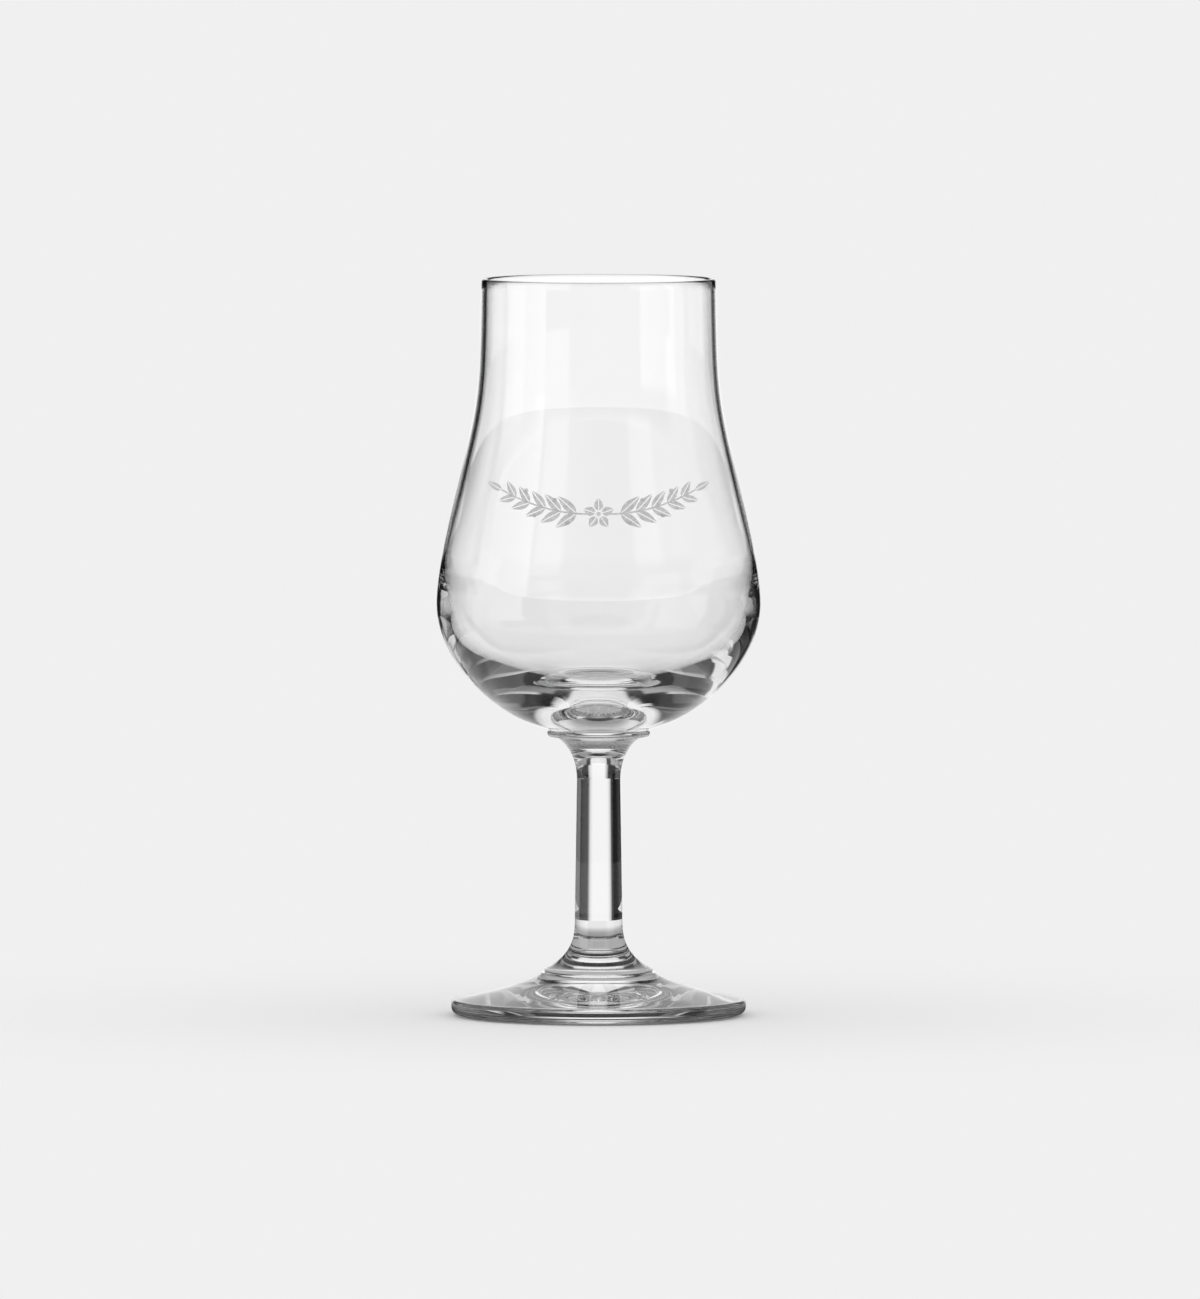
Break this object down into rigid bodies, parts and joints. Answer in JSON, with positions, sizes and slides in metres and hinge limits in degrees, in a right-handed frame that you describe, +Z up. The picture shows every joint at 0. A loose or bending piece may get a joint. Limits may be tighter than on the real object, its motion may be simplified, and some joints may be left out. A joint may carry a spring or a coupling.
{
  "type": "liqueur glass",
  "caption": "Stemmed clear liqueur glass: a full-bellied blown bowl with a straight neck and a heavy base, fused through a round collar to a solid stem and a conical pressed foot.",
  "frame": {"origin": "on the glass's axis, at the table that the foot's ring stands on", "axes": "+Z up along the glass's axis, +Y from the side that the picture shows towards the back"},
  "size_m": [0.0616, 0.0616, 0.14],
  "materials": {
    "pressed_glass": "clear, fire polished",
    "blown_glass": "clear, blown, fire polished rim"
  },
  "bodies": {
    "root": {"foot": "pressed_glass", "stem": "pressed_glass", "collar": "pressed_glass", "bowl": "blown_glass"}
  },
  "joints": []
}
